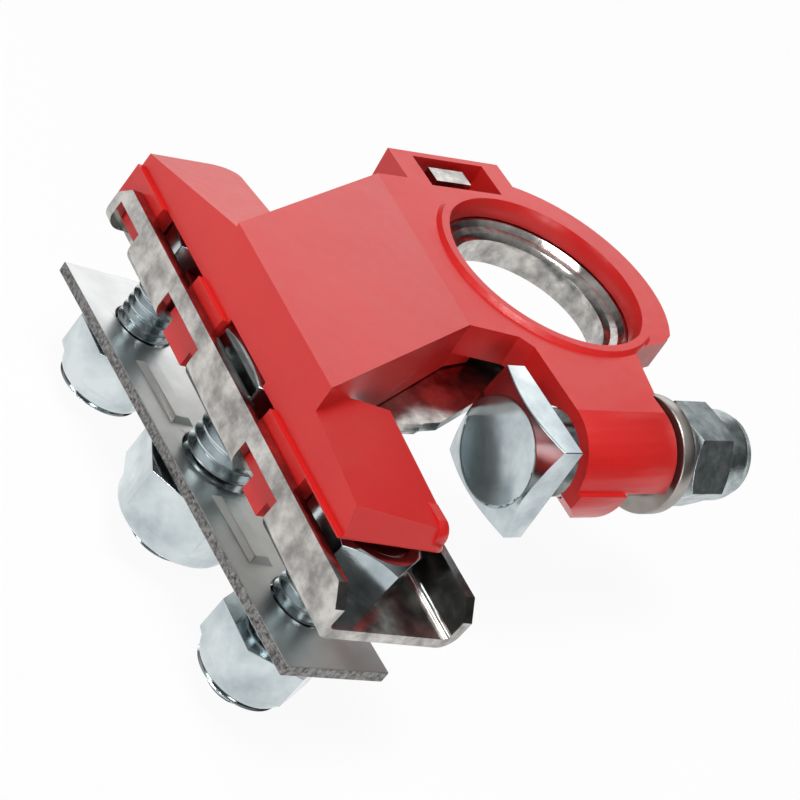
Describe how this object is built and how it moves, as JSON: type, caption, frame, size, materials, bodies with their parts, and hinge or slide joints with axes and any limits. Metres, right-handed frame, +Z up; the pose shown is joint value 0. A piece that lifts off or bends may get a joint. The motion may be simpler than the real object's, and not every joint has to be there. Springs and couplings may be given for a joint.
{
  "type": "battery terminal clamp",
  "caption": "Covered battery post clamp with a pinch bolt and a bolted bar that grips several cables.",
  "frame": {"origin": "on the axis of the post bore, at the lower face of the clamp ring", "axes": "+Z up the battery post, X along the pinch bolt with its nut at +X, Y along the cable bar, which lies at -X"},
  "size_m": [0.0633, 0.0582, 0.0307],
  "materials": {
    "red_plastic": "moulded, satin gloss",
    "tinned_sheet": "bright tin plate, slightly rippled",
    "zinc_plate": "bright zinc, bluish",
    "galvanised_bar": "dull galvanised sheet with dark sheared edges",
    "grey_washer": "dull zinc",
    "locking_ring": "dark nylon"
  },
  "bodies": {
    "clamp": {"clamp_body": "tinned_sheet", "cover": "red_plastic", "cable_bolt_rear": "zinc_plate", "cable_bolt_middle": "zinc_plate", "cable_bolt_front": "zinc_plate"},
    "clamp_bar": {"clamp_bar": "galvanised_bar"},
    "pinch_bolt": {"pinch_bolt": "zinc_plate"},
    "pinch_washer": {"pinch_washer": "grey_washer"},
    "pinch_nut": {"pinch_nut": "zinc_plate", "pinch_nut_ring": "locking_ring", "pinch_spring_washer": "locking_ring"},
    "cable_nut_rear": {"cable_nut_rear": "zinc_plate", "cable_nut_ring_rear": "locking_ring"},
    "cable_nut_middle": {"cable_nut_middle": "zinc_plate", "cable_nut_ring_middle": "locking_ring"},
    "cable_nut_front": {"cable_nut_front": "zinc_plate", "cable_nut_ring_front": "locking_ring"}
  },
  "joints": [
    {"name": "bar_slide", "type": "slide", "parent": "clamp", "child": "clamp_bar", "axis": [0.1891, 0, 0.982], "range_m": [0, 0.0046]},
    {"name": "cable_nut_rear_turn", "type": "hinge", "parent": "clamp_bar", "child": "cable_nut_rear", "pos_m": [-0.03877, 0.007, -0.01116], "axis": [0.1891, 0, 0.982], "range_deg": [0, 1656.5]},
    {"name": "cable_nut_middle_turn", "type": "hinge", "parent": "clamp_bar", "child": "cable_nut_middle", "pos_m": [-0.03877, -0.0126, -0.01116], "axis": [0.1891, 0, 0.982], "range_deg": [0, 1325.3]},
    {"name": "cable_nut_front_turn", "type": "hinge", "parent": "clamp_bar", "child": "cable_nut_front", "pos_m": [-0.03877, -0.0304, -0.01116], "axis": [0.1891, 0, 0.982], "range_deg": [0, 1656.5]},
    {"name": "pinch_bolt_slide", "type": "slide", "parent": "clamp", "child": "pinch_bolt", "axis": [1, 0, 0], "range_m": [0, 0.0028]},
    {"name": "pinch_nut_turn", "type": "hinge", "parent": "clamp", "child": "pinch_nut", "pos_m": [0.009, -0.0212, 0.0011], "axis": [-1, 0, 0], "range_deg": [0, 1008.5]},
    {"name": "pinch_washer_turn", "type": "hinge", "parent": "clamp", "child": "pinch_washer", "pos_m": [0.0043, -0.0212, 0.0011], "axis": [1, 0, 0], "continuous": true}
  ],
  "couplings": [
    {"joint": "cable_nut_rear_turn", "follows": "bar_slide", "rad_per_m": 6283.2},
    {"joint": "cable_nut_middle_turn", "follows": "bar_slide", "rad_per_m": 5026.5},
    {"joint": "cable_nut_front_turn", "follows": "bar_slide", "rad_per_m": 6283.2},
    {"joint": "pinch_nut_turn", "follows": "pinch_bolt_slide", "rad_per_m": 6283.2}
  ]
}
